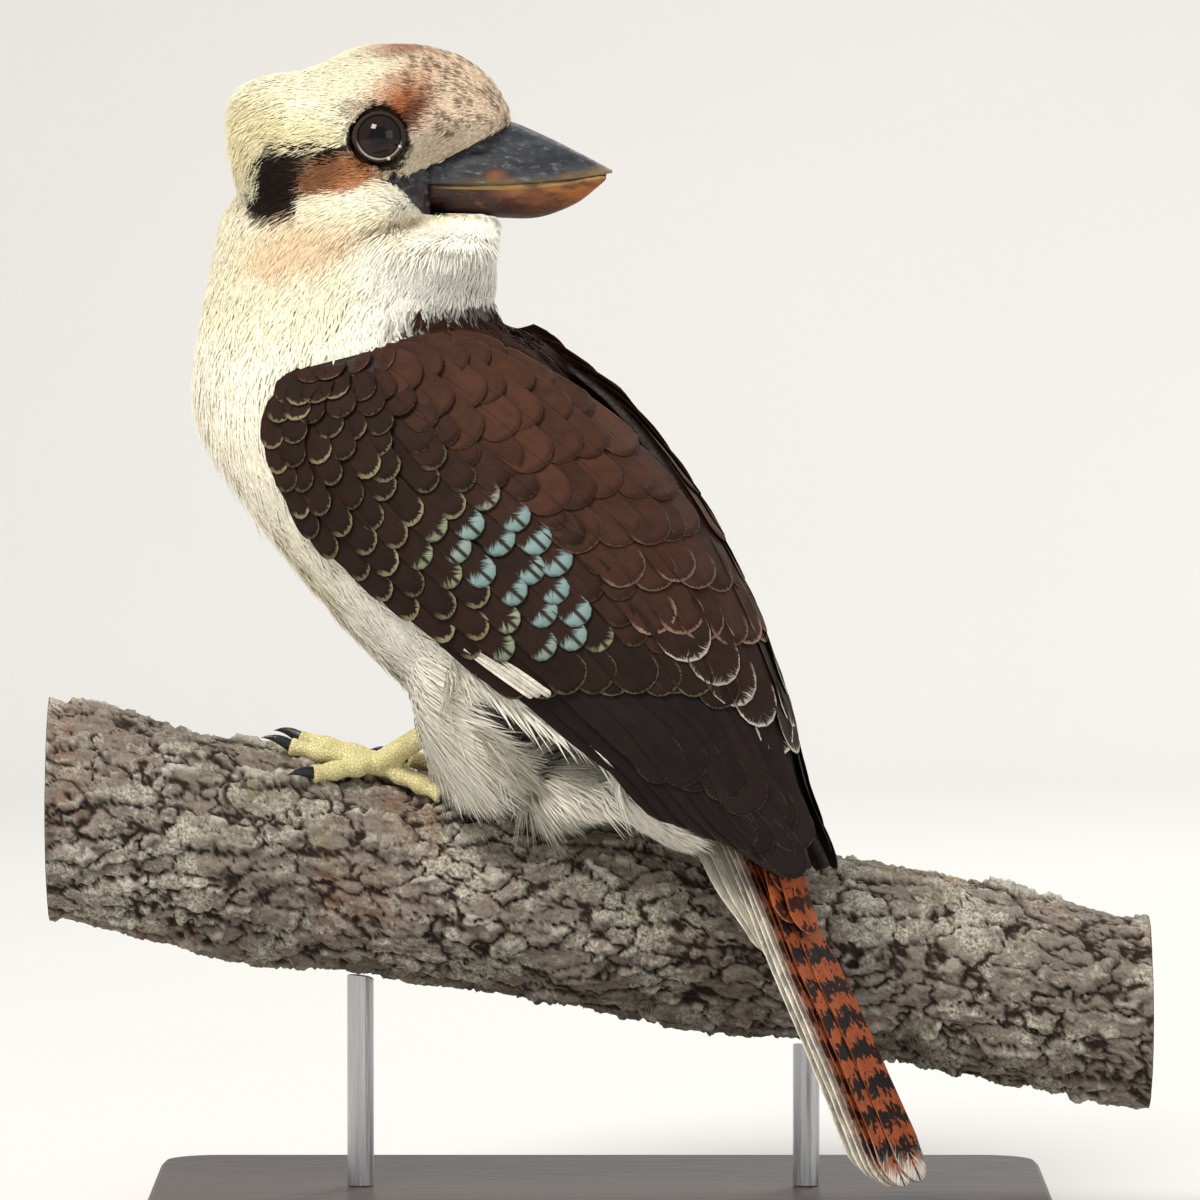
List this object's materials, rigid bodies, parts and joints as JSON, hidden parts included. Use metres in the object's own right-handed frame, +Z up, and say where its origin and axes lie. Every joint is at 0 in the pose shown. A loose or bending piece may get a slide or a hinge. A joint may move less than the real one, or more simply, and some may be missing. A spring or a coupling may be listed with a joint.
{
  "type": "bird figure",
  "caption": "Life-size laughing kookaburra perched on a cut length of branch, head turned back over its shoulder, on a plain display stand.",
  "frame": {"origin": "centre of the display base's underside", "axes": "+Z up; +X along the branch towards its lower end, the way the bill points in the picture; +Y away from the viewer, who sees the bird's left side"},
  "size_m": [0.33, 0.176, 0.3577],
  "materials": {
    "plumage": "cream, rufous and dark brown contour feathers",
    "wing_feathers": "dark brown vanes with pale buff and pale blue tips",
    "tail_feathers": "rufous vanes barred black, white at the tips",
    "bill_upper": "slate black horn, satin",
    "bill_lower": "orange brown horn, satin",
    "eye": "dark brown iris under a wet, glossy surface",
    "foot": "pale yellow scaly skin",
    "claw": "black horn, satin",
    "bark": "grey brown furrowed bark with pale lichen",
    "base": "dark stained wood, satin",
    "rod": "brushed"
  },
  "bodies": {
    "root": {"head": "plumage", "neck": "plumage", "torso": "plumage", "thigh_left": "plumage", "thigh_right": "plumage", "wing_left": "wing_feathers", "wing_right": "wing_feathers", "tail": "tail_feathers", "bill_upper": "bill_upper", "bill_lower": "bill_lower", "eye_left": "eye", "eye_right": "eye", "foot_left": "foot", "foot_right": "foot", "claw_left_inner": "claw", "claw_left_middle": "claw", "claw_left_outer": "claw", "claw_left_hind": "claw", "claw_right_inner": "claw", "claw_right_middle": "claw", "claw_right_outer": "claw", "claw_right_hind": "claw", "perch": "bark", "stand_base": "base", "stand_rod_left": "rod", "stand_rod_right": "rod"}
  },
  "joints": []
}
